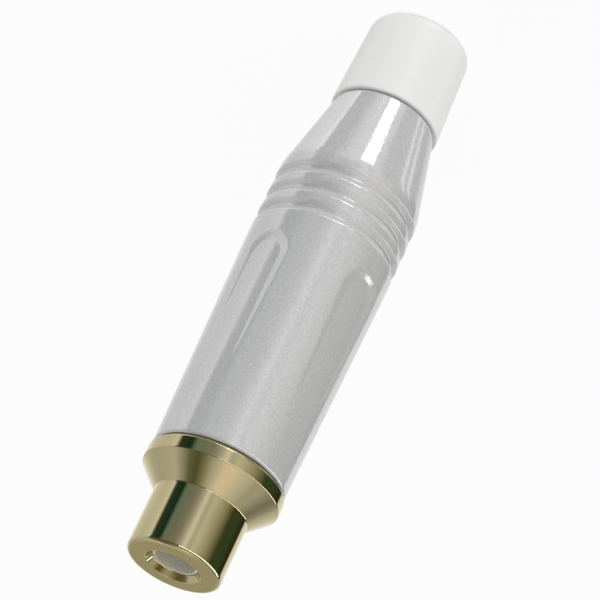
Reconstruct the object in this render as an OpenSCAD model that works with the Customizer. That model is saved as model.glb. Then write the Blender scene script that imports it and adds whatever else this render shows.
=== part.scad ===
// In-line phono socket for a cable, standing on the end of its boot with the mouth up.
// All sizes are in millimetres. The axis of the connector is Z, from the cable to the mouth.

/* [Boot] */
// Length of the boot that shows behind the housing
boot_len = 9.4; // [8:0.1:12]
// Diameter of the boot where it meets the housing
boot_base_d = 10.1; // [9.9:0.01:10.8]
// Diameter of the boot at its cable end, before the rounding
boot_end_d = 9.36; // [9:0.02:10]
// Rounding of the boot's cable end
boot_round = 1.1; // [0.6:0.1:1.3]
// Diameter of the hole that the cable goes through
cable_bore_d = 6; // [5:0.1:6.2]
// Chamfer at the mouth of the cable hole
cable_lead = 0.2; // [0.1:0.05:0.4]

/* [Thread between boot and housing] */
// Outside diameter of the thread on the boot's nose
thread_d = 8; // [7.8:0.1:8.1]
// Rise of the thread in one turn
thread_pitch = 1; // [0.7:0.05:1.2]
// Number of turns from tight to free
thread_turns = 5; // [3:1:6]
// Depth of the plain neck behind the thread
thread_relief = 0.25; // [0.1:0.05:0.3]
// Wall of the nose at its thin front end
nose_wall = 0.35; // [0.3:0.05:0.5]

/* [Cable clamp] */
// Length of the clamp's ring
clamp_ring_len = 3.2; // [2.6:0.1:4]
// Length of the clamp's jaws
jaw_len = 8.6; // [7:0.1:9.4]
// Number of jaws round the cable
jaw_count = 4; // [3:1:6]
// Width of the slot between two jaws
jaw_slot = 0.8; // [0.5:0.1:1]
// Diameter that the teeth of the jaws leave free at rest
jaw_bore_d = 4.4; // [4:0.1:4.6]
// Height of a tooth inside the jaws
tooth_h = 0.25; // [0.15:0.05:0.3]
// Spacing of the teeth along the cable
tooth_pitch = 1.2; // [1:0.1:1.5]
// Number of rows of teeth
tooth_rows = 5; // [3:1:5]
// Width of the two keys that stop the clamp from turning in the housing
key_w = 1.6; // [1.2:0.1:2]
// Height of a key above the ring
key_h = 0.35; // [0.3:0.05:0.45]
// Length of a key
key_len = 2.4; // [1.5:0.1:2.6]

/* [Housing] */
// Length of the housing
housing_len = 37.3; // [35:0.1:42]
// Diameter at the housing's cable end
housing_end_d = 9.56; // [9.5:0.02:10]
// Diameter round the three grooves, the thickest place
grip_d = 13.04; // [13:0.02:14]
// Diameter at the housing's front edge
housing_front_d = 11.88; // [11.8:0.02:12.1]
// Slope of the cone at the cable end, from the axis, in degrees
cone_slope = 11.7; // [11.2:0.1:14]
// Radius of the shoulder between the cone and the grip
shoulder_round = 6; // [4:0.5:10]
// Number of ring grooves
groove_count = 3; // [1:1:3]
// Plain stretch between the shoulder and the first groove
shoulder_land = 0.35; // [0.1:0.05:0.8]
// Spacing of the grooves
groove_pitch = 2.02; // [1.6:0.02:2.2]
// Width of a groove
groove_w = 1.3; // [0.8:0.05:1.4]
// Width of a groove's flat floor
groove_floor = 0.3; // [0.1:0.05:0.5]
// Length of a groove's wall on the cable side, steeper than the other one
groove_rear = 0.37; // [0.2:0.01:0.5]
// Depth of a groove
groove_depth = 0.38; // [0.2:0.02:0.5]
// Length of the thickest stretch behind the taper, from the last groove
grip_tail = 1.3; // [0.8:0.1:2]
// Edge break at the housing's two ends and at the pieces inside it
edge_break = 0.15; // [0.05:0.05:0.2]
// Thickness of the web that the clamp stops against
web_t = 1.8; // [1:0.1:2.4]
// Diameter of the hole in the web
web_bore_d = 6.6; // [6.2:0.1:7]
// Diameter of the wiring space
cavity_d = 9.8; // [9.4:0.1:10]

/* [Finger flutes] */
// Number of flutes round the housing
flute_count = 4; // [2:2:6]
// Distance of a flute's round floor end from the start of the taper
flute_start = 2.3; // [1.8:0.1:4]
// Width of a flute at its floor
flute_w = 3.1; // [2:0.1:4]
// Diameter that the floors of the flutes lie on
flute_floor_d = 12.2; // [12.1:0.02:12.6]
// Slope of a flute's soft walls, in degrees
flute_slope = 25; // [20:1:45]

/* [Socket head] */
// Outside diameter of the barrel that the plug's shell goes over
barrel_d = 8.3; // [8:0.05:8.5]
// Length of the barrel
barrel_len = 5.72; // [5:0.02:8]
// Rounding of the barrel's rim
barrel_round = 0.4; // [0.1:0.05:0.5]
// Diameter of the ring that closes the housing
flange_d = 12.18; // [12:0.02:12.6]
// Width of that ring
flange_len = 1.45; // [1:0.05:2.5]
// Edge break on the ring's cable side
flange_break = 0.2; // [0.05:0.05:0.3]
// Slope of the cone between the ring and the barrel, from the axis, in degrees
head_cone_slope = 43.7; // [35:0.1:60]
// Length of the spigot inside the housing
spigot_len = 5.7; // [4:0.1:7]
// Diameter of the spigot
spigot_d = 10.24; // [10.1:0.02:10.4]
// Lead-in chamfer at the spigot's rear end
spigot_lead = 0.25; // [0.1:0.05:0.4]
// Distance of the spigot's flat from the axis
spigot_flat = 4.67; // [4.6:0.01:4.9]
// Diameter of the mouth at the face
mouth_d = 4.9; // [4.5:0.1:5.2]
// Depth of the insulator behind the face
mouth_depth = 0.55; // [0.4:0.05:1]
// Thickness of the lip round the mouth
lip_t = 1.1; // [1.05:0.05:1.4]
// Diameter of the bore that holds the insulators
head_bore_d = 6.4; // [6.2:0.05:6.6]
// Diameter of the neck that carries the solder lug
neck_d = 7.6; // [7.5:0.1:8]
// Height of the rolled edge that holds the lug
rolled_h = 0.3; // [0.2:0.05:0.4]
// Length of the rolled edge
rolled_len = 0.5; // [0.3:0.1:0.8]

/* [Insulators] */
// Diameter of the front insulator's nose in the mouth
nose_insulator_d = 4.12; // [4:0.02:4.2]
// Rounding of the front insulator's nose
nose_insulator_round = 0.12; // [0.06:0.02:0.2]
// Diameter of the hole that leads the plug's pin in
pin_hole_d = 3.6; // [3.5:0.05:3.7]
// Length of the hole that leads the plug's pin in
pin_hole_len = 1.75; // [1.2:0.05:2.5]
// Length of the rear insulator
rear_insulator_len = 3.7; // [3:0.1:4.5]

/* [Centre contact] */
// Diameter of the contact's bore, the plug's pin
contact_bore_d = 3.2; // [3.1:0.05:3.3]
// Depth of the contact's bore
contact_bore_len = 8.9; // [8:0.1:9.2]
// Countersink at the mouth of the contact's bore
contact_lead = 0.2; // [0.1:0.05:0.3]
// Wall of the contact's spring sleeve
contact_wall = 0.5; // [0.35:0.05:0.55]
// Width of the four slots in the sleeve
contact_slot = 0.4; // [0.2:0.05:0.5]
// Length of those slots
contact_slot_len = 6.4; // [4:0.1:7.5]
// Diameter of the collar between the two insulators
collar_d = 5.2; // [5:0.1:5.6]
// Thickness of the collar
collar_t = 0.9; // [0.6:0.1:1.2]
// Diameter of the stem and the solder cup
stem_d = 2.6; // [2.4:0.1:2.8]
// Length of the solder cup behind the rear insulator
cup_len = 4.6; // [3.5:0.1:5.5]
// Wall of the solder cup
cup_wall = 0.35; // [0.3:0.05:0.5]

/* [Solder lug] */
// Thickness of the lug's sheet
lug_t = 0.4; // [0.3:0.05:0.5]
// Outside diameter of the lug's ring
lug_ring_d = 9.2; // [8.8:0.1:9.2]
// Width of the lug's tongue
lug_w = 2.4; // [1.6:0.1:3]
// Inside diameter of the crimp ears
ears_d = 5.2; // [4.4:0.1:6]
// Length of the crimp ears along the cable
ears_len = 3.4; // [2.5:0.1:4]
// Distance from the solder cup's end to the crimp ears
ears_gap = 3; // [2:0.1:4]
// Opening between the two ears, in degrees
ears_open = 110; // [80:5:160]

/* [Clearances] */
// Radial clearance of what turns or slides
fit_gap = 0.08; // [0.03:0.01:0.1]
// Gap between faces that stop against each other
seat_gap = 0.1; // [0.05:0.01:0.15]
// Radial gap of what is pressed together
press_gap = 0.03; // [0.02:0.01:0.05]
// Gap between the jaws and the cone that closes them
jaw_gap = 0.1; // [0.05:0.01:0.15]

/* [Hidden] */
$fn = 96;
eps = 0.01;
arc_steps = 8;

white = [0.93, 0.93, 0.92];
nickel = [0.72, 0.72, 0.73];
gold = [0.78, 0.66, 0.36];
brass = [0.80, 0.70, 0.42];
milk = [0.85, 0.85, 0.82];

thread_r = thread_d / 2;
cable_bore_r = cable_bore_d / 2;
relief_len = 0.7 * thread_pitch;
nose_lead = 0.5 * thread_pitch;
nose_len = relief_len + thread_turns * thread_pitch + nose_lead;
nose_chamfer = 0.2;

z_housing = boot_len + seat_gap;
z_nose_end = boot_len + nose_len;
z_ring = z_nose_end + 3 * seat_gap;
z_stop = z_ring + clamp_ring_len + seat_gap;
z_cavity = z_stop + web_t;
z_jaw_tip = z_ring - jaw_len;
z_cone = z_jaw_tip - 3 * seat_gap;
z_front = z_housing + housing_len;
z_flange = z_front + seat_gap;
z_spigot = z_flange - spigot_len;
z_shelf = z_spigot - seat_gap;

// Boot's inner cone and the jaws that lie in it
nose_inner_r = thread_r - nose_wall;
jaw_cone = (nose_inner_r - cable_bore_r) / (z_nose_end - z_cone);
function boot_cone_r(z) = cable_bore_r + (z - z_cone) * jaw_cone;

// Socket head, from the flange to the face
barrel_r = barrel_d / 2;
flange_r = flange_d / 2;
head_cone_len = (flange_r - barrel_r) / tan(head_cone_slope);
z_head_cone = z_flange + flange_len;
z_barrel = z_head_cone + head_cone_len;
z_face = z_barrel + barrel_len;
z_lip = z_face - lip_t;
lip_bore_r = nose_insulator_d / 2 + press_gap;
head_bore_r = head_bore_d / 2;

// Solder lug and the neck that it is rolled on
z_lug = z_spigot - lug_t - press_gap;
z_neck_end = z_lug - press_gap - rolled_len;

// Centre contact, from its mouth back to the solder cup
z_contact_mouth = z_face - mouth_depth - pin_hole_len - press_gap;
z_contact_floor = z_contact_mouth - contact_bore_len;
contact_r = contact_bore_d / 2 + contact_wall;
z_collar = z_contact_floor - 1.6;
z_rear_insulator = z_collar + collar_t - rear_insulator_len;
z_cup = z_rear_insulator - cup_len;
z_ears = z_cup - ears_gap - ears_len;

// Points of an arc round [cx, cz], from angle a0 to a1
function arc(cx, cz, r, a0, a1) =
    [for (i = [0 : arc_steps])
        let (a = a0 + (a1 - a0) * i / arc_steps) [cx + r * cos(a), cz + r * sin(a)]];

// A round solid from its radii and heights
module turned(points) {
    rotate_extrude() polygon(points);
}

// A pair of opposite walls, cut from a block through the axis
module across(width, length, z0, z1) {
    translate([-length / 2, -width / 2, z0]) cube([length, width, z1 - z0]);
}

module boot() {
    color(white) turned(concat(
        [[cable_bore_r + cable_lead, 0]],
        arc(boot_end_d / 2 - boot_round, boot_round, boot_round, -90, 0),
        [
            [boot_base_d / 2, boot_len - edge_break],
            [boot_base_d / 2 - edge_break, boot_len],
            [thread_r - thread_relief, boot_len],
            [thread_r - thread_relief, boot_len + relief_len],
            [thread_r, boot_len + relief_len],
            [thread_r, z_nose_end - nose_chamfer],
            [thread_r - nose_chamfer, z_nose_end],
            [nose_inner_r, z_nose_end],
            [cable_bore_r, z_cone],
            [cable_bore_r, cable_lead]
        ]));
}

// Inside outline of the jaws: rows of teeth that point at the cable
function tooth_row(i) =
    let (z = z_jaw_tip + tooth_h + i * tooth_pitch)
    [[jaw_bore_d / 2 + tooth_h, z], [jaw_bore_d / 2, z + tooth_h],
     [jaw_bore_d / 2 + tooth_h, z + 2 * tooth_h]];

module clamp() {
    ring_r = thread_r;
    bore_r = jaw_bore_d / 2 + tooth_h;
    color(white) union() {
        difference() {
            turned(concat(
                [
                    [bore_r, z_ring + clamp_ring_len],
                    [ring_r - edge_break, z_ring + clamp_ring_len],
                    [ring_r, z_ring + clamp_ring_len - edge_break],
                    [ring_r, z_ring],
                    [boot_cone_r(z_nose_end) - jaw_gap, z_ring],
                    [boot_cone_r(z_nose_end) - jaw_gap, z_nose_end],
                    [boot_cone_r(z_jaw_tip) - jaw_gap, z_jaw_tip],
                    [bore_r, z_jaw_tip]
                ],
                [for (i = [0 : tooth_rows - 1]) each tooth_row(i)]));
            for (i = [0 : jaw_count - 1])
                rotate([0, 0, (i + 0.5) * 360 / jaw_count])
                    translate([0, -jaw_slot / 2, z_jaw_tip - eps])
                        cube([thread_r, jaw_slot, z_ring - z_jaw_tip]);
        }
        intersection() {
            difference() {
                cylinder(r = ring_r + key_h, h = z_ring + key_len);
                translate([0, 0, -eps]) cylinder(r = ring_r - edge_break, h = z_ring + key_len + 1);
            }
            across(key_w, thread_d + 4, z_ring, z_ring + key_len);
        }
    }
}

// Outside of the housing
end_r = housing_end_d / 2;
grip_r = grip_d / 2;
front_r = housing_front_d / 2;
arc_drop = shoulder_round * (1 - cos(cone_slope));
z_shoulder = z_housing + shoulder_round * sin(cone_slope)
           + (grip_r - end_r - arc_drop) / tan(cone_slope);
z_groove = z_shoulder + shoulder_land;
z_taper = z_groove + groove_w / 2 + (groove_count - 1) * groove_pitch + grip_tail;

// One ring groove: a steep wall on the cable side, a flat floor and an easier wall
function groove(i) =
    let (z = z_groove + i * groove_pitch)
    [[grip_r, z], [grip_r - groove_depth, z + groove_rear],
     [grip_r - groove_depth, z + groove_rear + groove_floor], [grip_r, z + groove_w]];

module housing_outside() {
    turned(concat(
        [[0, z_housing], [end_r - edge_break, z_housing]],
        [[end_r - edge_break + edge_break * cos(cone_slope), z_housing + edge_break]],
        arc(grip_r - shoulder_round, z_shoulder, shoulder_round, -cone_slope, 0),
        [for (i = [0 : groove_count - 1]) each groove(i)],
        [
            [grip_r, z_taper],
            [front_r, z_front - edge_break],
            [front_r - edge_break, z_front],
            [0, z_front]
        ]));
}

// Cutter for one flute on the +X side: a round rear end, then a straight run to the front.
// Its floor is concentric with the housing, so the taper of the housing runs it out.
module flute() {
    floor_r = flute_floor_d / 2;
    sink = 0.1;
    base_x = sqrt(floor_r * floor_r - flute_w * flute_w / 4) - sink;
    base_half = flute_w / 2 - sink / tan(flute_slope);
    reach = grip_r - base_x + eps;
    top_half = base_half + reach / tan(flute_slope);
    end_over = 0.03; // The round end is this much wider, so that it crosses the straight walls
    z_round = z_taper + flute_start + flute_w / 2;
    difference() {
        union() {
            translate([base_x, 0, z_round]) rotate([0, 90, 0])
                cylinder(r1 = base_half + end_over, r2 = top_half + end_over, h = reach);
            translate([0, 0, z_round]) linear_extrude(height = z_front - z_round + 1)
                polygon([
                    [base_x, -base_half],
                    [base_x + reach, -top_half],
                    [base_x + reach, top_half],
                    [base_x, base_half]
                ]);
        }
        cylinder(r = floor_r, h = z_front + 2);
    }
}

// Space inside the housing, from the cable end: thread, clamp seat, web, wiring space, spigot seat
module housing_inside() {
    bore_r = thread_r + fit_gap;
    key_slot_r = thread_r + key_h + fit_gap;
    translate([0, 0, z_housing - eps]) cylinder(r = bore_r, h = z_stop - z_housing + eps);
    translate([0, 0, z_housing - eps])
        cylinder(r1 = bore_r + edge_break + eps, r2 = bore_r, h = edge_break + eps);
    translate([0, 0, z_stop - eps]) cylinder(d = web_bore_d, h = web_t + 2 * eps);
    translate([0, 0, z_cavity]) cylinder(d = cavity_d, h = z_shelf - z_cavity + eps);
    intersection() {
        translate([0, 0, z_housing - eps]) cylinder(r = key_slot_r, h = z_stop - z_housing + eps);
        across(key_w + 2 * fit_gap, thread_d + 4, z_housing - 1, z_stop);
    }
    intersection() {
        translate([0, 0, z_shelf]) cylinder(r = spigot_d / 2 + fit_gap, h = z_front - z_shelf + eps);
        translate([-spigot_d, -spigot_d, z_shelf - eps])
            cube([2 * spigot_d, spigot_d + spigot_flat + fit_gap, z_front - z_shelf + 1]);
    }
}

module housing() {
    color(nickel) difference() {
        housing_outside();
        for (i = [0 : flute_count - 1])
            rotate([0, 0, (i + 0.5) * 360 / flute_count]) flute();
        housing_inside();
    }
}

module socket_body() {
    spigot_r = spigot_d / 2;
    neck_r = neck_d / 2;
    mouth_r = mouth_d / 2;
    color(gold) difference() {
        union() {
            intersection() {
                turned([
                    [0, z_spigot],
                    [spigot_r - spigot_lead, z_spigot],
                    [spigot_r, z_spigot + spigot_lead],
                    [spigot_r, z_flange + eps],
                    [0, z_flange + eps]
                ]);
                translate([-spigot_d, -spigot_d, z_spigot - 1])
                    cube([2 * spigot_d, spigot_d + spigot_flat, spigot_len + 2]);
            }
            turned(concat(
                [
                    [0, z_flange],
                    [flange_r - flange_break, z_flange],
                    [flange_r, z_flange + flange_break],
                    [flange_r, z_head_cone],
                    [barrel_r, z_barrel]
                ],
                arc(barrel_r - barrel_round, z_face - barrel_round, barrel_round, 0, 90),
                [[0, z_face]]));
            translate([0, 0, z_neck_end]) cylinder(r = neck_r, h = z_spigot - z_neck_end + eps);
            translate([0, 0, z_neck_end]) cylinder(r = neck_r + rolled_h, h = rolled_len);
        }
        translate([0, 0, z_neck_end - 1]) cylinder(r = head_bore_r, h = z_lip - z_neck_end + 1);
        translate([0, 0, z_lip - eps]) cylinder(r = lip_bore_r, h = lip_t + 1);
        translate([0, 0, z_face - mouth_depth])
            cylinder(r1 = lip_bore_r, r2 = mouth_r, h = mouth_depth + eps);
    }
}

module front_insulator() {
    sleeve_r = head_bore_r - press_gap;
    nose_r = nose_insulator_d / 2;
    hole_r = pin_hole_d / 2;
    z_top = z_face - mouth_depth;
    z_rear = z_collar + collar_t + press_gap;
    color(milk) turned(concat(
        [
            [contact_r + press_gap, z_rear],
            [sleeve_r, z_rear],
            [sleeve_r, z_lip - press_gap],
            [nose_r, z_lip - press_gap]
        ],
        arc(nose_r - nose_insulator_round, z_top - nose_insulator_round, nose_insulator_round, 0, 90),
        [
            [hole_r, z_top],
            [hole_r, z_contact_mouth + press_gap],
            [contact_r + press_gap, z_contact_mouth + press_gap]
        ]));
}

module rear_insulator() {
    sleeve_r = head_bore_r - press_gap;
    stem_hole_r = stem_d / 2 + press_gap;
    pocket_r = collar_d / 2 + press_gap;
    color(milk) turned([
        [stem_hole_r, z_rear_insulator],
        [sleeve_r, z_rear_insulator],
        [sleeve_r, z_rear_insulator + rear_insulator_len],
        [pocket_r, z_rear_insulator + rear_insulator_len],
        [pocket_r, z_collar - press_gap],
        [stem_hole_r, z_collar - press_gap]
    ]);
}

module centre_contact() {
    stem_r = stem_d / 2;
    bore_r = contact_bore_d / 2;
    cup_r = stem_r - cup_wall;
    cup_depth = cup_len - 0.8;
    color(brass) difference() {
        turned([
            [0, z_cup],
            [stem_r, z_cup],
            [stem_r, z_collar],
            [collar_d / 2, z_collar],
            [collar_d / 2, z_collar + collar_t],
            [contact_r, z_collar + collar_t],
            [contact_r, z_contact_mouth - edge_break],
            [contact_r - edge_break, z_contact_mouth],
            [0, z_contact_mouth]
        ]);
        translate([0, 0, z_contact_floor])
            cylinder(r = bore_r, h = contact_bore_len + eps);
        translate([0, 0, z_contact_mouth - contact_lead])
            cylinder(r1 = bore_r, r2 = bore_r + contact_lead + eps, h = contact_lead + eps);
        for (turn = [45, 135])
            rotate([0, 0, turn])
                across(contact_slot, collar_d, z_contact_mouth - contact_slot_len, z_contact_mouth + 1);
        translate([0, 0, z_cup - eps]) cylinder(r = cup_r, h = cup_depth + eps);
        translate([-stem_d, -stem_d, z_cup - eps])
            cube([2 * stem_d, stem_d - cup_r / 2, 0.75 * cup_depth]);
    }
}

module solder_lug() {
    ring_r = lug_ring_d / 2;
    hole_r = neck_d / 2 + press_gap;
    ears_r = ears_d / 2;
    bend_y = ring_r - lug_t / 2;
    seat_y = ears_r + lug_t / 2;
    color(brass) union() {
        translate([0, 0, z_lug]) difference() {
            cylinder(r = ring_r, h = lug_t);
            translate([0, 0, -1]) cylinder(r = hole_r, h = lug_t + 2);
        }
        intersection() {
            rotate([90, 0, 90]) translate([0, 0, -lug_w / 2]) linear_extrude(height = lug_w)
                polygon([
                    [bend_y - lug_t / 2, z_lug + lug_t],
                    [bend_y + lug_t / 2, z_lug + lug_t],
                    [bend_y + lug_t / 2, z_cup],
                    [seat_y + lug_t / 2, z_ears + ears_len + 0.5],
                    [seat_y + lug_t / 2, z_ears],
                    [seat_y - lug_t / 2, z_ears],
                    [seat_y - lug_t / 2, z_ears + ears_len + 0.5],
                    [bend_y - lug_t / 2, z_cup]
                ]);
            cylinder(r = ring_r, h = z_face);
        }
        translate([0, 0, z_ears]) linear_extrude(height = ears_len) difference() {
            circle(r = ears_r + lug_t);
            circle(r = ears_r);
            polygon([
                [0, 0],
                [-ring_r * tan(ears_open / 2), -ring_r],
                [ring_r * tan(ears_open / 2), -ring_r]
            ]);
        }
    }
}

boot();
clamp();
housing();
socket_body();
front_insulator();
rear_insulator();
centre_contact();
solder_lug();
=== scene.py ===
"""In-line phono cable socket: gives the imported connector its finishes, its finer shapes and a studio."""
import math

import bmesh
import bpy
from mathutils import Matrix, Vector


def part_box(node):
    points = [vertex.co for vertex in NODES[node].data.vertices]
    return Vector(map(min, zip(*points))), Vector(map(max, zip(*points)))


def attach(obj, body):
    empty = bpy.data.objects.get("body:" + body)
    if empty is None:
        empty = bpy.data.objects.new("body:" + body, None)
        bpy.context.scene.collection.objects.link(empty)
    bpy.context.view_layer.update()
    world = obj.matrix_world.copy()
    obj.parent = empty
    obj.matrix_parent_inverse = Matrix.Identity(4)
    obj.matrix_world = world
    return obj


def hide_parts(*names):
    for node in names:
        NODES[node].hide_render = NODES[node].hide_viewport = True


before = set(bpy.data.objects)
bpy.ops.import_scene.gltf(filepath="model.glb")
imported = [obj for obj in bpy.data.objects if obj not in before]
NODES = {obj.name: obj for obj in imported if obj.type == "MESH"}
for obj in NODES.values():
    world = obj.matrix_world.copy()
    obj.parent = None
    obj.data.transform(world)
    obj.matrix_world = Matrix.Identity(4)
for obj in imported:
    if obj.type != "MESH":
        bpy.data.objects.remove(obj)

bl_info = {
    "name": "Phono cable socket",
    "version": (1, 0, 0),
    "blender": (4, 5, 0),
    "location": "View3D > Sidebar > Connector",
    "description": "Finishes and finer shapes for an in-line phono cable socket",
    "category": "Object",
}

MM = 0.001
WHITE = (1, 1, 1, 1)
CLOSE = 1e-7  # points nearer than this are one point
PICTURE = 600  # width and height of the photograph's frame, in pixels
SENSOR = 36  # width of the camera's sensor, in millimetres

# How finely the new pieces are drawn.
TURN_STEPS = 192  # faces round a turned piece
HOUSING_STEPS = 360  # faces round the housing, whose flutes need more
THREAD_STEPS = 96  # faces in one turn of the thread
FLUTE_ROW = 0.15 * MM  # height of the rows that the flutes are pressed into
ROUND_SEGMENTS, EDGE_SEGMENTS = 12, 4  # faces across a rounding and across a broken edge
LARGE_ROUNDING = 0.3 * MM  # roundings above this get ROUND_SEGMENTS
SHARP = math.radians(33)  # an edge is sharp where its faces turn by this or more

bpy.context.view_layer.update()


def top(node):
    """Height of a CAD node's highest point."""
    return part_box(node)[1].z


def bottom(node):
    """Height of a CAD node's lowest point."""
    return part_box(node)[0].z


def linear(colour):
    """An sRGB hex colour, such as "C8C8C8", as linear red, green and blue."""
    shares = [int(colour[i:i + 2], 16) / 255 for i in (0, 2, 4)]
    return [s / 12.92 if s <= 0.04045 else ((s + 0.055) / 1.055) ** 2.4 for s in shares]


def colour_property(name, description, default):
    """A colour that a user can change."""
    return bpy.props.FloatVectorProperty(
        name=name, description=description, subtype="COLOR", size=3, min=0, max=1, default=linear(default))


def length_property(name, description, default):
    """A length in metres that a user can change."""
    return bpy.props.FloatProperty(
        name=name, description=description, subtype="DISTANCE", unit="LENGTH", default=default)


def angle_property(name, description, degrees):
    """An angle that a user can change, given in degrees."""
    return bpy.props.FloatProperty(
        name=name, description=description, subtype="ANGLE", unit="ROTATION", default=math.radians(degrees))


class ConnectorBoot(bpy.types.PropertyGroup):
    """Sizes of the boot."""
    shown_length: length_property("Shown length", "Length of the boot behind the housing", 9.4 * MM)
    end_diameter: length_property("End diameter", "Diameter at the cable end, before the rounding", 9.36 * MM)
    base_diameter: length_property("Base diameter", "Diameter next to the housing", 10.1 * MM)
    end_rounding: length_property("End rounding", "Rounding of the cable end", 1.1 * MM)
    cable_hole: length_property("Cable hole", "Diameter of the hole for the cable", 6.0 * MM)
    thread_diameter: length_property("Thread diameter", "Diameter over the thread's crests", 8.0 * MM)
    thread_pitch: length_property("Thread pitch", "Rise of the thread in one turn", 1.0 * MM)
    thread_depth: length_property("Thread depth", "Depth of the thread's grooves", 0.3 * MM)
    thread_turns: bpy.props.FloatProperty(
        name="Thread turns", description="Turns of thread on the nose", default=4.4)
    nose_mouth: length_property("Nose mouth", "Inside diameter at the nose's front", 7.3 * MM)
    cone_height: length_property("Cone height", "Height at which the cone for the jaws begins", 7.0 * MM)


class ConnectorHousing(bpy.types.PropertyGroup):
    """Sizes of the housing's outside."""
    end_diameter: length_property("End diameter", "Diameter at the cable end", 9.56 * MM)
    grip_diameter: length_property("Grip diameter", "Diameter round the grooves", 13.04 * MM)
    front_diameter: length_property("Front diameter", "Diameter at the front edge", 11.88 * MM)
    edge_break: length_property("Edge break", "Chamfer at the two ends", 0.15 * MM)
    cone_slope: angle_property("Cone slope", "Slope of the cone at the cable end, from the axis", 11.7)
    shoulder_rounding: length_property("Shoulder rounding", "Radius between the cone and the grip", 6.0 * MM)
    shoulder_height: length_property("Shoulder height", "Height at which the grip begins", 18.517 * MM)
    groove_height: length_property("Groove height", "Height at which the first groove begins", 18.867 * MM)
    groove_spacing: length_property("Groove spacing", "From one groove to the next", 2.02 * MM)
    groove_width: length_property("Groove width", "Width of a groove at its top", 1.3 * MM)
    groove_rear: length_property("Groove rear wall", "Length of the steeper wall", 0.37 * MM)
    groove_floor: length_property("Groove floor", "Width of the flat floor", 0.3 * MM)
    groove_depth: length_property("Groove depth", "Depth of a groove", 0.38 * MM)
    groove_count: bpy.props.IntProperty(name="Grooves", description="Number of ring grooves", default=3)
    taper_height: length_property("Taper height", "Height at which the slight taper begins", 24.857 * MM)
    flute_round: length_property("Flute round", "Height of the centre of a flute's round end", 28.707 * MM)
    flute_width: length_property("Flute width", "Width of a flute at its floor", 3.1 * MM)
    flute_floor: length_property("Flute floor", "Diameter that the floors of the flutes lie on", 12.2 * MM)
    flute_slope: angle_property("Flute slope", "Slope of a flute's soft walls", 25)
    flute_softness: length_property("Flute softness", "Width over which a flute's edges turn", 0.07 * MM)
    flute_end: length_property("Flute end", "Height beyond which the flutes have run out", 42.0 * MM)
    flute_count: bpy.props.IntProperty(name="Flutes", description="Number of finger flutes", default=4)


class ConnectorHead(bpy.types.PropertyGroup):
    """Sizes of the turned socket head."""
    barrel_diameter: length_property("Barrel diameter", "Barrel that the plug's shell goes over", 8.3 * MM)
    barrel_height: length_property("Barrel height", "Height at which the barrel begins", 50.38 * MM)
    barrel_rounding: length_property("Barrel rounding", "Rounding of the barrel's rim", 0.4 * MM)
    ring_diameter: length_property("Ring diameter", "The ring that closes the housing", 12.18 * MM)
    ring_height: length_property("Ring height", "Height of the ring's cable side", 46.9 * MM)
    ring_width: length_property("Ring width", "Width of the ring", 1.45 * MM)
    ring_break: length_property("Ring break", "Chamfer on the ring's cable side", 0.3 * MM)
    spigot_diameter: length_property("Spigot diameter", "The spigot inside the housing", 10.24 * MM)
    spigot_height: length_property("Spigot height", "Height of the spigot's cable side", 41.2 * MM)
    spigot_lead: length_property("Spigot lead", "Chamfer on the spigot's cable side", 0.25 * MM)
    spigot_flat: length_property("Spigot flat", "Distance of the flat from the axis", 4.67 * MM)
    neck_diameter: length_property("Neck diameter", "The neck that carries the solder lug", 7.6 * MM)
    rolled_diameter: length_property("Rolled edge", "Diameter of the edge that holds the lug", 8.2 * MM)
    rolled_width: length_property("Rolled width", "Width of the rolled edge", 0.5 * MM)
    bore_diameter: length_property("Bore", "Diameter of the bore for the insulators", 6.4 * MM)
    lip_bore: length_property("Lip bore", "Diameter of the bore in the lip", 4.18 * MM)
    lip_thickness: length_property("Lip thickness", "Thickness of the lip round the mouth", 1.1 * MM)
    mouth_diameter: length_property("Mouth", "Diameter of the countersunk mouth", 4.9 * MM)
    mouth_depth: length_property("Mouth depth", "Depth of the countersink", 0.55 * MM)


class ConnectorStudio(bpy.types.PropertyGroup):
    """The camera, the floor and the lamps."""
    camera_distance: length_property("Camera distance", "From the lens to the aimed point", 240.2 * MM)
    aim_height: length_property("Aim height", "Height on the axis that the camera is set up for", 30.1 * MM)
    elevation: angle_property("Elevation", "How far the camera looks down at the axis", 27.5)
    roll: angle_property("Roll", "Turn of the camera about its own line of sight", 154.6)
    focal_length: bpy.props.FloatProperty(
        name="Focal length", description="In millimetres on a 36 mm sensor", default=169.2)
    aim_x: bpy.props.FloatProperty(
        name="Aim across", default=294.7,
        description="Column of the 600 pixel picture that the aimed point falls on")
    aim_y: bpy.props.FloatProperty(
        name="Aim down", default=309.9,
        description="Row of the 600 pixel picture that the aimed point falls on")
    tent_radius: length_property("Tent radius", "Radius of the light tent that the plating reflects", 1.5)
    even_light: bpy.props.FloatProperty(
        name="Even light", description="Strength of the soft light from all round", default=0.42)
    lamp_distance: length_property("Lamp distance", "From the aimed point to each lamp", 1.0)
    floor_radius: length_property("Floor radius", "Radius of the round floor", 3.0)
    floor_white: bpy.props.FloatProperty(
        name="Floor white", default=0.92,
        description="Share of plain white in the floor that the camera sees")
    floor_colour: colour_property("Floor", "Pale studio floor", "F4F4F4")


class ConnectorFinish(bpy.types.PropertyGroup):
    """The colours of the finishes."""
    nickel: colour_property("Nickel", "Satin nickel plating of the housing", "DADADA")
    gold: colour_property("Gold", "Gold plating of the socket head", "E8DBAC")
    insulator: colour_property("Insulator", "Grey-white plastic in the mouth", "E4E3D2")
    boot: colour_property("Boot", "White nylon of the boot", "ECECEB")
    acetal: colour_property("Acetal", "Natural acetal of the cable clamp", "E9E8E2")


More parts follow.
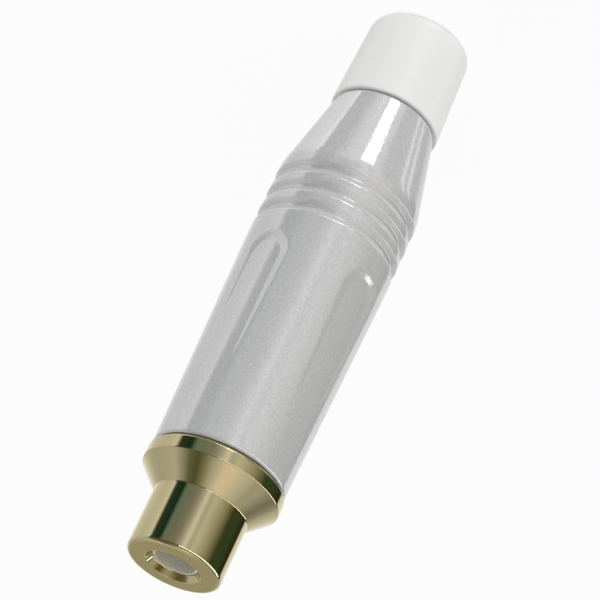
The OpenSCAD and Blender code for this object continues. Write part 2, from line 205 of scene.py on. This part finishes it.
def add_node(tree, kind, inputs=None, stops=None, **settings):
    """Adds a node. Inputs are values or the sockets that feed them, stops a ramp's (place, colour) pairs."""
    node = tree.nodes.new(kind)
    for name, value in settings.items():
        setattr(node, name, value)
    for name, value in (inputs or {}).items():
        if isinstance(value, bpy.types.NodeSocket):
            tree.links.new(value, node.inputs[name])
        else:
            node.inputs[name].default_value = value
    if stops:
        elements = node.color_ramp.elements
        while len(elements) < len(stops):
            elements.new(1.0)
        for element, (place, colour) in zip(elements, stops):
            element.position = place
            element.color = (*colour, 1.0)
    return node


def new_material(name):
    """An empty node material and its tree."""
    material = bpy.data.materials.new(name)
    material.use_nodes = True
    material.node_tree.nodes.clear()
    return material, material.node_tree


def toned(colour, share):
    """A colour made darker or lighter by a share."""
    return [channel * share for channel in colour]


def dress(node, material):
    """Gives a CAD node its finish."""
    NODES[node].material_slots[0].material = material


def satin_nickel(colour):
    """Satin nickel plating over a blasted zinc casting, for the housing.

    The blasted pits scatter most of the light, which gives an even pale grey with a fine sparkle. The
    plating lays a weaker and sharper reflection of the studio over that.
    """
    material, tree = new_material("satin_nickel")
    place = add_node(tree, "ShaderNodeTexCoord").outputs["Object"]
    # The sheen changes slowly, over patches of about 11 mm.
    cloud = add_node(tree, "ShaderNodeTexNoise", {"Vector": place, "Scale": 1 / (11.11 * MM), "Detail": 3})
    # Blasting leaves pits of about 0.05 mm. They are drawn 0.2 mm wide, or they wouldn't show.
    grit = add_node(tree, "ShaderNodeTexNoise", {"Vector": place, "Scale": 1 / (0.2 * MM), "Detail": 2})
    tone = add_node(tree, "ShaderNodeValToRGB", {"Fac": grit.outputs["Fac"]}, stops=[
        (0.35, toned(colour, 0.92)), (0.65, toned(colour, 1.04))])
    sheen = add_node(tree, "ShaderNodeMapRange", {
        "Value": cloud.outputs["Fac"], "From Min": 0.3, "From Max": 0.7, "To Min": 0.07, "To Max": 0.1})
    bump = add_node(tree, "ShaderNodeBump", {
        "Height": grit.outputs["Fac"], "Strength": 0.5, "Distance": 0.015 * MM})
    # Metallic is the share that the plating mirrors. The rest is what the pits scatter.
    shader = add_node(tree, "ShaderNodeBsdfPrincipled", {
        "Base Color": tone.outputs["Color"], "Metallic": 0.36, "Roughness": sheen.outputs["Result"],
        "Normal": bump.outputs["Normal"]})
    add_node(tree, "ShaderNodeOutputMaterial", {"Surface": shader.outputs["BSDF"]})
    return material


def turned_gold(colour):
    """Gold plating over turned brass, for the head's metal: a mirror that the lathe's rings blur a little."""
    material, tree = new_material("gold_plated_brass")
    place = add_node(tree, "ShaderNodeTexCoord").outputs["Object"]
    # The tool's feed leaves a ring every 0.08 mm. At the photograph's distance they don't show one by
    # one, but draw reflections out along the axis. A wave texture has 20 waves in 2 pi units.
    rings = add_node(tree, "ShaderNodeTexWave", {
        "Vector": place, "Scale": 2 * math.pi / 20 / (0.07854 * MM), "Distortion": 0.6, "Detail": 1},
        bands_direction="Z")
    # The plating's thickness, and with it the colour's depth, changes over patches of about 2.5 mm.
    cloud = add_node(tree, "ShaderNodeTexNoise", {"Vector": place, "Scale": 1 / (2.5 * MM), "Detail": 2})
    tone = add_node(tree, "ShaderNodeValToRGB", {"Fac": cloud.outputs["Fac"]}, stops=[
        (0.3, toned(colour, 0.97)), (0.7, colour)])
    bump = add_node(tree, "ShaderNodeBump", {
        "Height": rings.outputs["Fac"], "Strength": 0.1, "Distance": 0.002 * MM})
    shader = add_node(tree, "ShaderNodeBsdfPrincipled", {
        "Base Color": tone.outputs["Color"], "Metallic": 1.0, "Roughness": 0.07,
        "Normal": bump.outputs["Normal"]})
    add_node(tree, "ShaderNodeOutputMaterial", {"Surface": shader.outputs["BSDF"]})
    return material


def moulded_plastic(name, colour, roughness):
    """Moulded nylon, acetal or insulating plastic: a soft sheen over a very fine grain."""
    material, tree = new_material(name)
    place = add_node(tree, "ShaderNodeTexCoord").outputs["Object"]
    # The plastic's flow into the mould leaves patches of about 7 mm, slightly darker or lighter.
    cloud = add_node(tree, "ShaderNodeTexNoise", {"Vector": place, "Scale": 1 / (6.667 * MM), "Detail": 3})
    # The mould's grain is about 0.05 mm. It is drawn 0.17 mm wide, or it wouldn't show.
    grain = add_node(tree, "ShaderNodeTexNoise", {"Vector": place, "Scale": 1 / (0.1667 * MM), "Detail": 2})
    tone = add_node(tree, "ShaderNodeValToRGB", {"Fac": cloud.outputs["Fac"]}, stops=[
        (0.3, toned(colour, 0.97)), (0.7, colour)])
    bump = add_node(tree, "ShaderNodeBump", {
        "Height": grain.outputs["Fac"], "Strength": 0.1, "Distance": 0.008 * MM})
    shader = add_node(tree, "ShaderNodeBsdfPrincipled", {
        "Base Color": tone.outputs["Color"], "Roughness": roughness, "IOR": 1.53,
        "Normal": bump.outputs["Normal"]})
    add_node(tree, "ShaderNodeOutputMaterial", {"Surface": shader.outputs["BSDF"]})
    return material


def circle_edges(form, corners):
    """The edges of the circles round Z that go through these (radius, height) corners."""
    circles = {}
    for vert in form.verts:
        radius = vert.co.xy.length
        for number, corner in enumerate(corners):
            if abs(radius - corner[0]) < CLOSE and abs(vert.co.z - corner[1]) < CLOSE:
                circles[vert] = number
    return [edge for edge in form.edges if circles.get(edge.verts[0], -1) == circles.get(edge.verts[1], -2)]


def with_shoulders(outline, closed):
    """Adds a point beside each rounded corner where there is room, so that the faces beyond it stay true."""
    distance, room = 1.3, 1.6  # of the point from the corner, and needed for it, in radii of the rounding
    places = []
    last = len(outline) - 1
    for here, (radius, height, rounding) in enumerate(outline):
        corner = Vector((radius, height))
        before = outline[here - 1] if here or closed else None
        after = outline[here + 1 if here < last else 0] if here < last or closed else None
        beside = []
        for other in (before, after):
            away = Vector(other[:2]) - corner if other and rounding else Vector((0, 0))
            roomy = other and rounding and away.length > room * (rounding + other[2])
            beside.append([tuple(corner + away.normalized() * distance * rounding)] if roomy else [])
        places += [*beside[0], (radius, height), *beside[1]]
    return places


def spin_outline(form, outline, closed, steps):
    """Spins an outline of (radius, height, rounding) corners round Z, then rounds its corners."""
    line = [form.verts.new((radius, 0, height)) for radius, height in with_shoulders(outline, closed)]
    ends = line[1:] + line[:1] if closed else line[1:]
    edges = [form.edges.new(pair) for pair in zip(line, ends)]
    bmesh.ops.spin(
        form, geom=line + edges, cent=(0, 0, 0), axis=(0, 0, 1), dvec=(0, 0, 0),
        angle=2 * math.pi, steps=steps, use_merge=True, use_duplicate=False)
    for rounding in sorted({corner[2] for corner in outline if corner[2]}):
        edges = circle_edges(form, [corner[:2] for corner in outline if corner[2] == rounding])
        bmesh.ops.bevel(
            form, geom=edges, offset=rounding, offset_type="OFFSET",
            segments=ROUND_SEGMENTS if rounding > LARGE_ROUNDING else EDGE_SEGMENTS,
            profile=0.5, affect="EDGES", clamp_overlap=True, material=-1)


def add_object(name, form, material):
    """Turns a bmesh into an object with one material."""
    mesh = bpy.data.meshes.new(name)
    form.to_mesh(mesh)
    form.free()
    mesh.materials.append(material)
    thing = bpy.data.objects.new(name, mesh)
    bpy.context.scene.collection.objects.link(thing)
    return thing


def make_piece(name, form, material, body, node):
    """Turns a bmesh into a smooth piece with sharp corners that stands for a CAD node."""
    bmesh.ops.recalc_face_normals(form, faces=form.faces)
    for face in form.faces:
        face.smooth = True
    for edge in form.edges:
        edge.smooth = edge.calc_face_angle(0) < SHARP
    piece = add_object(name, form, material)
    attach(piece, body)
    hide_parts(node)


def wind_thread(form, size):
    """Winds the boot's right-handed thread round its nose, as a ridge that is closed at both ends."""
    half = size.thread_pitch / 2
    crest = size.thread_diameter / 2
    root = crest - size.thread_depth
    foot = root - 0.1 * MM  # inside the nose, so that no gap shows under the ridge
    start = size.shown_length + 1.1 * MM  # above a plain stretch next to the shoulder
    ridge = [
        (foot, -0.8 * half), (root, -0.7 * half), (crest, -0.25 * half),
        (crest, 0.25 * half), (root, 0.7 * half), (foot, 0.8 * half)]
    first = form.faces.new([form.verts.new((radius, 0, start + height)) for radius, height in ridge])
    steps = round(THREAD_STEPS * size.thread_turns)
    bmesh.ops.spin(
        form, geom=[first], cent=(0, 0, 0), axis=(0, 0, 1),
        dvec=(0, 0, size.thread_pitch * size.thread_turns / steps),
        angle=2 * math.pi * size.thread_turns, steps=steps, use_merge=False, use_duplicate=False)


def boot_form(size):
    """The boot: a sleeve with a rounded end, and a nose with a thread on it."""
    hole = size.cable_hole / 2
    base, end = size.base_diameter / 2, size.end_diameter / 2
    crest = size.thread_diameter / 2
    root = crest - size.thread_depth
    length, height = size.shown_length, top("boot")
    form = bmesh.new()
    spin_outline(form, [
        (hole, 0, 0.2 * MM),
        (end, 0, size.end_rounding),
        (base, length, 0.15 * MM),
        (root, length, 0),
        (root, height, 0.04 * MM),
        (size.nose_mouth / 2, height, 0.04 * MM),
        (hole, size.cone_height, 0),
    ], True, TURN_STEPS)
    wind_thread(form, size)
    return form


def flute_radius(across, height, size):
    """How far from the axis a flute's surface lies, at a distance across its middle and at a height."""
    below = min(height - size.flute_round, 0)
    outside = math.hypot(across, below) - size.flute_width / 2
    # The floor is flat, and the walls climb from its edge with a soft bend.
    climb = (outside + math.hypot(outside, size.flute_softness)) / 2
    return size.flute_floor / 2 + climb * math.tan(size.flute_slope)


def press_flutes(verts, size):
    """Presses the finger flutes into the skin, with soft edges."""
    soft = size.flute_softness * math.tan(size.flute_slope)
    pitch = 2 * math.pi / size.flute_count
    for vert in verts:
        radius = math.hypot(vert.co.x, vert.co.y)
        turn = math.atan2(vert.co.y, vert.co.x) % pitch - pitch / 2
        flute = flute_radius(radius * math.sin(turn), vert.co.z, size)
        # The lower of the skin and the flute, with a soft edge where they cross.
        pressed = (flute + radius - math.hypot(flute - radius, soft)) / 2
        vert.co.x *= pressed / radius
        vert.co.y *= pressed / radius


def housing_outline(size):
    """The housing's outside from the cable end to the front, as (radius, height, rounding) corners."""
    end, grip, front = size.end_diameter / 2, size.grip_diameter / 2, size.front_diameter / 2
    low, high, edge = bottom("housing"), top("housing"), size.edge_break
    slope, bend = size.cone_slope, size.shoulder_rounding
    points = [(end - edge, low, 0), (end - edge + edge * math.cos(slope), low + edge, 0.06 * MM)]
    arc = 12
    for step in range(arc + 1):
        angle = -slope * (1 - step / arc)
        points.append((
            grip - bend + bend * math.cos(angle), size.shoulder_height + bend * math.sin(angle), 0))
    floor = grip - size.groove_depth
    for groove in range(size.groove_count):
        start = size.groove_height + groove * size.groove_spacing
        points += [
            (grip, start, 0.05 * MM), (floor, start + size.groove_rear, 0.05 * MM),
            (floor, start + size.groove_rear + size.groove_floor, 0.05 * MM),
            (grip, start + size.groove_width, 0.08 * MM)]
    fall = (grip - front) / (high - edge - size.taper_height)
    points.append((grip, size.taper_height, 0))
    rows = round((size.flute_end - size.taper_height) / FLUTE_ROW)
    for row in range(1, rows + 1):
        height = size.taper_height + (size.flute_end - size.taper_height) * row / rows
        points.append((grip - fall * (height - size.taper_height), height, 0))
    return points + [(front, high - edge, 0.1 * MM), (front - edge, high, 0)]


def housing_form(size):
    """The housing: the inside of the CAD solid, with a finely turned and fluted skin round it."""
    def outside(vert):
        # The bores stay within these radii, below and above the first groove, and the skin beyond them.
        limit = 4.5 * MM if vert.co.z < size.groove_height else 5.5 * MM
        return math.hypot(vert.co.x, vert.co.y) > limit

    form = bmesh.new()
    form.from_mesh(NODES["housing"].data)
    bmesh.ops.remove_doubles(form, verts=form.verts, dist=CLOSE)
    skin = [face for face in form.faces if any(outside(vert) for vert in face.verts)]
    bmesh.ops.delete(form, geom=skin, context="FACES")
    low, high = bottom("housing"), top("housing")
    spin_outline(form, housing_outline(size), False, HOUSING_STEPS)
    press_flutes([vert for vert in form.verts if outside(vert) and vert.co.z > size.taper_height], size)
    for height in (low, high):
        rims = [edge for edge in form.edges if edge.is_boundary
                and all(abs(vert.co.z - height) < 10 * CLOSE for vert in edge.verts)]
        bmesh.ops.triangle_fill(form, edges=rims, use_beauty=True, use_dissolve=False)
    return form


def socket_form(size):
    """The socket head's body: one turned solid, and the spigot with its flat."""
    low, high = bottom("socket_body"), top("socket_body")
    bore, lip, mouth = size.bore_diameter / 2, size.lip_bore / 2, size.mouth_diameter / 2
    neck, rolled = size.neck_diameter / 2, size.rolled_diameter / 2
    barrel, ring, spigot = size.barrel_diameter / 2, size.ring_diameter / 2, size.spigot_diameter / 2
    ring_low, spigot_low = size.ring_height, size.spigot_height
    inside, overlap = (bore + neck) / 2, 0.3 * MM  # the spigot reaches into the neck and into the ring
    form = bmesh.new()
    spin_outline(form, [
        (spigot - size.spigot_lead, spigot_low, 0),
        (spigot, spigot_low + size.spigot_lead, 0),
        (spigot, ring_low + overlap, 0),
        (inside, ring_low + overlap, 0),
        (inside, spigot_low, 0),
    ], True, TURN_STEPS)
    cut = bmesh.ops.bisect_plane(
        form, geom=[*form.verts, *form.edges, *form.faces], dist=CLOSE / 10,
        plane_co=(0, size.spigot_flat, 0), plane_no=(0, 1, 0), clear_outer=True, clear_inner=False)
    rim = [edge for edge in cut["geom_cut"] if isinstance(edge, bmesh.types.BMEdge)]
    bmesh.ops.contextual_create(form, geom=rim)
    spin_outline(form, [
        (bore, low, 0.05 * MM),
        (rolled, low, 0.12 * MM),
        (rolled, low + size.rolled_width, 0.1 * MM),
        (neck, low + size.rolled_width, 0),
        (neck, ring_low, 0),
        (ring - size.ring_break, ring_low, 0.05 * MM),
        (ring, ring_low + size.ring_break, 0.05 * MM),
        (ring, ring_low + size.ring_width, 0.05 * MM),
        (barrel, size.barrel_height, 0.06 * MM),
        (barrel, high, size.barrel_rounding),
        (mouth, high, 0.05 * MM),
        (lip, high - size.mouth_depth, 0.03 * MM),
        (lip, high - size.lip_thickness, 0.03 * MM),
        (bore, high - size.lip_thickness, 0),
    ], True, TURN_STEPS)
    return form


def grey(level):
    """A neutral light of this strength, where 1 is white."""
    return [level, level, level]


# What the plating reflects: compass angle round the connector, in degrees from the camera's side
# towards +X, and the light's linear colour there, in four bands from the tent's foot to its roof.
TENT_FOOT = [
    (-180, grey(0.03)), (-160, grey(0.03)), (-148, grey(0.6)), (-120, grey(0.2)),
    (-106, grey(0.25)), (-101, grey(1.2)), (-96, grey(0.3)), (-88, grey(0.3)), (-83, grey(1.2)),
    (-78, grey(0.25)), (-40, grey(0.2)), (-28, grey(0.6)), (20, grey(0.7)), (40, grey(0.55)),
    (56, grey(0.2)), (87, grey(0.2)), (93, grey(1.4)), (99, grey(0.9)), (148, grey(0.8)), (160, grey(0.03)),
]
TENT_WALLS = [
    (-180, grey(0.95)), (-150, grey(0.8)), (-134, grey(0.75)), (-127, (0.02, 0.02, 0.01)),
    (-100, (0.04, 0.06, 0.03)), (-76, (0.04, 0.06, 0.03)), (-66, (0.15, 0.15, 0.1)),
    (-52, (0.3, 0.3, 0.22)), (-24, grey(0.55)), (-12, grey(0.45)), (-3, grey(0.7)), (8, grey(0.4)),
    (20, grey(0.23)), (36, (0.17, 0.2, 0.18)), (48, (0.15, 0.21, 0.2)), (57, (0.01, 0.03, 0.02)),
    (77, (0.03, 0.05, 0.03)), (84, grey(0.7)), (92, grey(0.6)), (112, grey(0.55)), (124, grey(0.6)),
    (138, grey(0.62)), (152, grey(0.8)),
]
TENT_EAVES = [
    (-180, (0.35, 0.34, 0.26)), (-140, grey(0.4)), (-118, grey(0.2)), (-96, grey(0.4)),
    (-76, (0.3, 0.28, 0.2)), (-62, (0.12, 0.1, 0.05)), (62, (0.12, 0.1, 0.05)), (76, grey(0.14)),
    (96, grey(0.5)), (150, grey(0.4)),
]
TENT_ROOF = [
    (-180, grey(0.5)), (-140, grey(0.4)), (-118, grey(0.2)), (-96, grey(0.4)), (-64, grey(0.55)),
    (-34, (0.76, 0.68, 0.65)), (-14, (0.77, 0.66, 0.64)), (0, grey(0.57)), (20, grey(0.4)),
    (36, (0.22, 0.22, 0.15)), (54, (0.09, 0.09, 0.05)), (71, (0.14, 0.14, 0.1)),
    (96, grey(0.5)), (150, grey(0.52)),
]
# The heights over which each band takes over from the one below, in radii of the tent.
TENT_BANDS = (
    (-0.9, -0.84, TENT_FOOT), (-0.66, -0.56, TENT_WALLS), (-0.15, 0.4, TENT_EAVES), (0.68, 0.8, TENT_ROOF))
TENT_UNDERSIDE = (0.03, 0.03, 0.03, 1)


def round_compass(colours):
    """A band's colours as a ramp's stops, from -X round to -X again."""
    stops = sorted(((angle + 90) % 360 / 360, colour) for angle, colour in colours)
    return [(0.0, stops[-1][1]), *stops]


def only_reflected(piece, material):
    """Leaves a glowing part of the studio visible in reflections alone."""
    material.cycles.emission_sampling = "NONE"
    piece.visible_camera = piece.visible_diffuse = piece.visible_shadow = False
    piece.visible_transmission = piece.visible_volume_scatter = False


def light_tent(studio):
    """Tent round the connector that only its reflections show, with pale walls and dark gaps."""
    form = bmesh.new()
    bmesh.ops.create_uvsphere(form, u_segments=64, v_segments=32, radius=studio.tent_radius)
    bmesh.ops.translate(form, verts=form.verts, vec=(0, 0, studio.aim_height))
    material, tree = new_material("tent_cloth")
    place = add_node(tree, "ShaderNodeTexCoord").outputs["Object"]
    compass = add_node(tree, "ShaderNodeTexGradient", {"Vector": place}, gradient_type="RADIAL")
    height = add_node(tree, "ShaderNodeSeparateXYZ", {"Vector": place})
    cloth = TENT_UNDERSIDE
    for low, high, colours in TENT_BANDS:
        climb = add_node(tree, "ShaderNodeMapRange", {
            "Value": height.outputs["Z"],
            "From Min": low * studio.tent_radius, "From Max": high * studio.tent_radius})
        band = add_node(
            tree, "ShaderNodeValToRGB", {"Fac": compass.outputs["Fac"]}, stops=round_compass(colours))
        mixed = add_node(tree, "ShaderNodeMixRGB", {
            "Fac": climb.outputs["Result"], "Color1": cloth, "Color2": band.outputs["Color"]})
        cloth = mixed.outputs["Color"]
    glow = add_node(tree, "ShaderNodeEmission", {"Color": cloth, "Strength": 1.0})
    add_node(tree, "ShaderNodeOutputMaterial", {"Surface": glow.outputs["Emission"]})
    only_reflected(add_object("light_tent", form, material), material)


def edge_light(studio):
    """Long soft strip just above the connector's level, in front and to the picture's right.

    It draws a bright line along rounded edges.
    """
    radius = 0.8 * studio.tent_radius
    bottom_edge, top_edge = 0.13 * radius, 0.32 * radius  # above the aimed point
    start, reach = math.radians(-120), math.radians(128)  # compass angle that it starts at, and its length
    place = (radius * math.sin(start), -radius * math.cos(start))
    form = bmesh.new()
    ends = [form.verts.new((*place, studio.aim_height + height)) for height in (bottom_edge, top_edge)]
    edge = form.edges.new(ends)
    bmesh.ops.spin(
        form, geom=[*ends, edge], cent=(0, 0, 0), axis=(0, 0, 1), dvec=(0, 0, 0),
        angle=reach, steps=32, use_merge=False, use_duplicate=False)
    material, tree = new_material("strip_cloth")
    glow = add_node(tree, "ShaderNodeEmission", {"Color": WHITE, "Strength": 3.0})
    add_node(tree, "ShaderNodeOutputMaterial", {"Surface": glow.outputs["Emission"]})
    only_reflected(add_object("edge_light", form, material), material)


def studio_world(studio):
    """World: a white background behind the object and in what reflects it, and soft even light."""
    world = bpy.data.worlds.new("studio_world")
    world.use_nodes = True
    world.cycles.sampling_method = "NONE"
    tree = world.node_tree
    tree.nodes.clear()
    rays = add_node(tree, "ShaderNodeLightPath")
    direct = add_node(tree, "ShaderNodeMath", {
        0: rays.outputs["Is Camera Ray"], 1: rays.outputs["Is Glossy Ray"]}, operation="MAXIMUM")
    seen = add_node(tree, "ShaderNodeMath", {
        0: direct.outputs["Value"], 1: rays.outputs["Is Transmission Ray"]}, operation="MAXIMUM")
    soft = add_node(tree, "ShaderNodeBackground", {"Color": WHITE, "Strength": studio.even_light})
    white = add_node(tree, "ShaderNodeBackground", {"Color": WHITE, "Strength": 1.0})
    either = add_node(tree, "ShaderNodeMixShader", {
        "Fac": seen.outputs["Value"], 1: soft.outputs["Background"], 2: white.outputs["Background"]})
    add_node(tree, "ShaderNodeOutputWorld", {"Surface": either.outputs["Shader"]})
    bpy.context.scene.world = world


def studio_floor(studio):
    """Round pale floor. The camera sees it near white, with the object's soft shadow."""
    form = bmesh.new()
    bmesh.ops.create_circle(form, cap_ends=True, segments=64, radius=studio.floor_radius)
    material, tree = new_material("studio_paper")
    rays = add_node(tree, "ShaderNodeLightPath")
    paper = add_node(tree, "ShaderNodeBsdfDiffuse", {"Color": (*studio.floor_colour, 1)})
    lit = add_node(tree, "ShaderNodeEmission", {"Color": WHITE, "Strength": 1.0})
    share = add_node(tree, "ShaderNodeMath", {
        0: rays.outputs["Is Camera Ray"], 1: studio.floor_white}, operation="MULTIPLY")
    mixed = add_node(tree, "ShaderNodeMixShader", {
        "Fac": share.outputs["Value"], 1: paper.outputs["BSDF"], 2: lit.outputs["Emission"]})
    add_node(tree, "ShaderNodeOutputMaterial", {"Surface": mixed.outputs["Shader"]})
    floor = add_object("studio_floor", form, material)
    floor.visible_glossy = False
    floor.visible_shadow = False


# Each soft lamp's name, compass angle and elevation seen from the aimed point, width and height in
# metres, power in watts, and whether reflections show it.
LAMPS = (
    ("strip_lamp", -4, -53, 0.23, 0.15, 0.9, True),
    ("low_lamp", -5, -66, 0.6, 0.15, 1.0, True),
    ("front_lamp", -8, 0, 0.5, 0.5, 3.4, False),
    ("mouth_lamp", -10, 65, 0.5, 0.5, 2.0, False),
    ("right_lamp", -110, 5, 0.5, 0.5, 2.5, False),
    ("left_lamp", 115, 5, 0.5, 0.5, 2.3, False),
    ("back_lamp", 160, 10, 0.5, 0.5, 4.0, False),
)


def soft_lamp(studio, name, compass, elevation, width, height, power, reflected):
    """Puts up a soft lamp that faces the aimed point."""
    light = bpy.data.lights.new(name, "AREA")
    light.shape = "RECTANGLE"
    light.size, light.size_y = width, height
    light.energy = power
    lamp = bpy.data.objects.new(name, light)
    turn, rise = math.radians(compass), math.radians(elevation)
    towards = Vector((math.sin(turn) * math.cos(rise), -math.cos(turn) * math.cos(rise), math.sin(rise)))
    place = Vector((0, 0, studio.aim_height)) + towards * studio.lamp_distance
    facing = towards.to_track_quat("Z", "Y").to_matrix().to_4x4()
    lamp.matrix_world = Matrix.Translation(place) @ facing
    lamp.visible_glossy = reflected
    lamp.visible_camera = False
    bpy.context.scene.collection.objects.link(lamp)


def photo_camera(studio):
    """Camera at the photograph's viewing angle, rolled so that the mouth points down to the left."""
    data = bpy.data.cameras.new("photo_camera")
    data.lens = studio.focal_length
    data.sensor_width = SENSOR
    data.clip_start = 0.01
    aim = Vector((0, 0, studio.aim_height))
    back = Vector((0, -math.cos(studio.elevation), math.sin(studio.elevation)))
    across = Vector((1, 0, 0))
    up = back.cross(across)
    right = across * math.cos(studio.roll) - up * math.sin(studio.roll)
    upward = across * math.sin(studio.roll) + up * math.cos(studio.roll)
    # The camera turns a little away from the aimed point, so that it falls where the photograph has it.
    pixels = PICTURE * studio.focal_length / SENSOR
    off_x = (studio.aim_x - PICTURE / 2) / pixels
    off_y = (PICTURE / 2 - studio.aim_y) / pixels
    backward = (back + right * off_x + upward * off_y).normalized()
    right = upward.cross(backward).normalized()
    upward = backward.cross(right)
    camera = bpy.data.objects.new("photo_camera", data)
    rotation = Matrix((right, upward, backward)).transposed().to_4x4()
    camera.matrix_world = Matrix.Translation(aim + back * studio.camera_distance) @ rotation
    bpy.context.scene.collection.objects.link(camera)
    bpy.context.scene.camera = camera


class CONNECTOR_OT_stage(bpy.types.Operator):
    """Set up the floor, the light tent, the lamps and the camera"""
    bl_idname = "connector.stage"
    bl_label = "Studio"

    def execute(self, context):
        studio = context.scene.connector_studio
        studio_world(studio)
        light_tent(studio)
        edge_light(studio)
        studio_floor(studio)
        for lamp in LAMPS:
            soft_lamp(studio, *lamp)
        photo_camera(studio)
        context.scene.view_settings.view_transform = "Standard"
        return {"FINISHED"}


class CONNECTOR_OT_housing(bpy.types.Operator):
    """Build the fluted housing and plate it"""
    bl_idname = "connector.housing"
    bl_label = "Housing"

    def execute(self, context):
        make_piece(
            "housing_shell", housing_form(context.scene.connector_housing),
            satin_nickel(context.scene.connector_finish.nickel), "housing", "housing")
        return {"FINISHED"}


class CONNECTOR_OT_socket_head(bpy.types.Operator):
    """Build the socket head and plate it, its contact and its solder lug"""
    bl_idname = "connector.socket_head"
    bl_label = "Socket head"

    def execute(self, context):
        gold = turned_gold(context.scene.connector_finish.gold)
        make_piece(
            "socket_head", socket_form(context.scene.connector_head), gold, "head", "socket_body")
        for node in ("centre_contact", "solder_lug"):
            dress(node, gold)
        return {"FINISHED"}


class CONNECTOR_OT_insulators(bpy.types.Operator):
    """Give the two insulators their plastic"""
    bl_idname = "connector.insulators"
    bl_label = "Insulators"

    def execute(self, context):
        # Grey-white plastic: as even as the boot, a little duller and yellower.
        plastic = moulded_plastic("grey_white_plastic", context.scene.connector_finish.insulator, 0.4)
        for node in ("front_insulator", "rear_insulator"):
            dress(node, plastic)
        return {"FINISHED"}


class CONNECTOR_OT_boot(bpy.types.Operator):
    """Build the boot with its thread"""
    bl_idname = "connector.boot"
    bl_label = "Boot"

    def execute(self, context):
        # White nylon: an even white, whose sides shade softly.
        nylon = moulded_plastic("white_nylon", context.scene.connector_finish.boot, 0.38)
        make_piece("threaded_boot", boot_form(context.scene.connector_boot), nylon, "boot", "boot")
        return {"FINISHED"}


class CONNECTOR_OT_clamp(bpy.types.Operator):
    """Give the cable clamp its plastic"""
    bl_idname = "connector.clamp"
    bl_label = "Cable clamp"

    def execute(self, context):
        # Natural acetal: slick and slightly warm.
        dress("clamp", moulded_plastic("natural_acetal", context.scene.connector_finish.acetal, 0.35))
        return {"FINISHED"}


OPERATORS = (
    CONNECTOR_OT_stage, CONNECTOR_OT_boot, CONNECTOR_OT_clamp, CONNECTOR_OT_housing,
    CONNECTOR_OT_socket_head, CONNECTOR_OT_insulators,
)


class VIEW3D_PT_connector(bpy.types.Panel):
    """Lists the studio and the pieces"""
    bl_label = "Phono cable socket"
    bl_space_type = "VIEW_3D"
    bl_region_type = "UI"
    bl_category = "Connector"

    def draw(self, context):
        for operator in OPERATORS:
            self.layout.operator(operator.bl_idname)


CLASSES = (
    ConnectorBoot, ConnectorHousing, ConnectorHead, ConnectorStudio, ConnectorFinish, *OPERATORS,
    VIEW3D_PT_connector,
)


def register():
    """Registers the classes and their settings."""
    for cls in CLASSES:
        bpy.utils.register_class(cls)
    bpy.types.Scene.connector_boot = bpy.props.PointerProperty(type=ConnectorBoot)
    bpy.types.Scene.connector_housing = bpy.props.PointerProperty(type=ConnectorHousing)
    bpy.types.Scene.connector_head = bpy.props.PointerProperty(type=ConnectorHead)
    bpy.types.Scene.connector_studio = bpy.props.PointerProperty(type=ConnectorStudio)
    bpy.types.Scene.connector_finish = bpy.props.PointerProperty(type=ConnectorFinish)


def unregister():
    """Takes the settings and the classes away again."""
    del bpy.types.Scene.connector_finish
    del bpy.types.Scene.connector_studio
    del bpy.types.Scene.connector_head
    del bpy.types.Scene.connector_housing
    del bpy.types.Scene.connector_boot
    for cls in reversed(CLASSES):
        bpy.utils.unregister_class(cls)


def main():
    """Builds the studio and every piece."""
    register()
    bpy.ops.connector.stage()
    bpy.ops.connector.boot()
    bpy.ops.connector.clamp()
    bpy.ops.connector.housing()
    bpy.ops.connector.socket_head()
    bpy.ops.connector.insulators()


if __name__ == "__main__":
    main()
